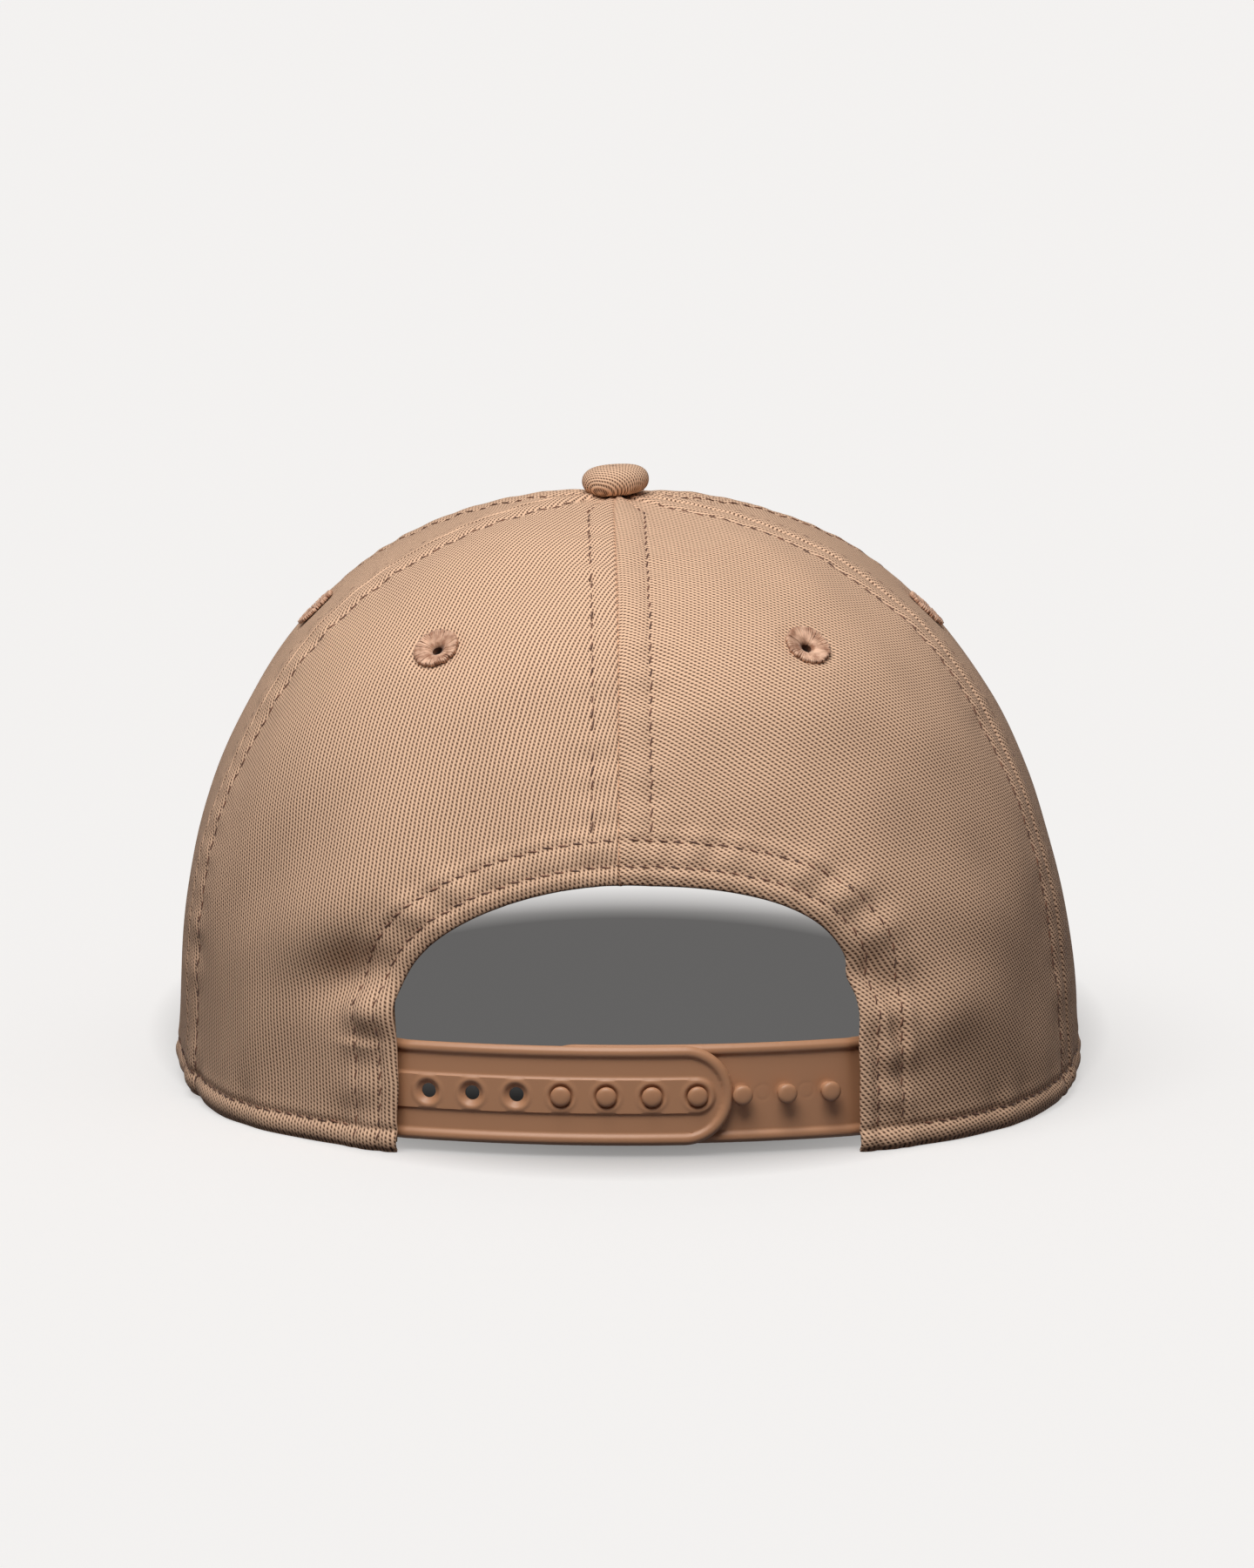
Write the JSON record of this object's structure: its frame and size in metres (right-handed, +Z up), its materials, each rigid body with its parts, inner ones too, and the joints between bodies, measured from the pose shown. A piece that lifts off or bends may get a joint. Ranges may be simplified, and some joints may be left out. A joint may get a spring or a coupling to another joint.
{
  "type": "baseball cap",
  "caption": "Structured baseball cap with sewn crown panels, curved visor, covered top button and a rear arch closed by a plastic snap strap.",
  "frame": {"origin": "on the ground under the middle of the cap's box", "axes": "+Y to the visor, +X to the wearer's right, +Z up"},
  "size_m": [0.179, 0.262, 0.1187],
  "materials": {
    "crown_twill": "matte cotton twill",
    "visor_twill": "matte cotton twill",
    "eyelet_thread": "embroidery thread",
    "seam_tape": "plain woven tape",
    "buckram": "stiff open weave",
    "sweatband_cloth": "soft twill",
    "label_cloth": "satin weave, blank",
    "button_metal": "plain",
    "visor_board": "moulded sheet",
    "strap_plastic": "satin moulded"
  },
  "bodies": {
    "crown": {"panel_front_left": "crown_twill", "panel_side_left": "crown_twill", "panel_rear_left": "crown_twill", "panel_front_right": "crown_twill", "panel_side_right": "crown_twill", "panel_rear_right": "crown_twill", "eyelet_front_left": "eyelet_thread", "eyelet_side_left": "eyelet_thread", "eyelet_rear_left": "eyelet_thread", "eyelet_front_right": "eyelet_thread", "eyelet_side_right": "eyelet_thread", "eyelet_rear_right": "eyelet_thread", "buckram_left": "buckram", "buckram_right": "buckram", "seam_tape_front_left": "seam_tape", "seam_tape_rear_left": "seam_tape", "seam_tape_front_right": "seam_tape", "seam_tape_rear_right": "seam_tape", "seam_tape_centre_front": "seam_tape", "seam_tape_centre_back": "seam_tape", "sweatband": "sweatband_cloth", "arch_facing": "seam_tape", "care_label": "label_cloth", "button_cover": "crown_twill", "button_shell": "button_metal", "button_stud": "button_metal", "visor_top_cover": "visor_twill", "visor_board": "visor_board", "visor_under_cover": "visor_twill", "holed_strap_tab": "strap_plastic", "peg_strap_tab": "strap_plastic"},
    "holed_strap": {"holed_strap": "strap_plastic"},
    "peg_strap": {"peg_strap": "strap_plastic"}
  },
  "joints": [
    {"name": "holed_strap_flex", "type": "hinge", "parent": "crown", "child": "holed_strap", "pos_m": [-0.04259, -0.12195, 0.01045], "axis": [0, 0, -1], "range_deg": [0, 75], "stiffness_Nm_per_rad": 0.01},
    {"name": "peg_strap_flex", "type": "hinge", "parent": "crown", "child": "peg_strap", "pos_m": [0.04205, -0.12039, 0.01045], "axis": [0, 0, -1], "range_deg": [0, 35], "stiffness_Nm_per_rad": 0.01}
  ]
}
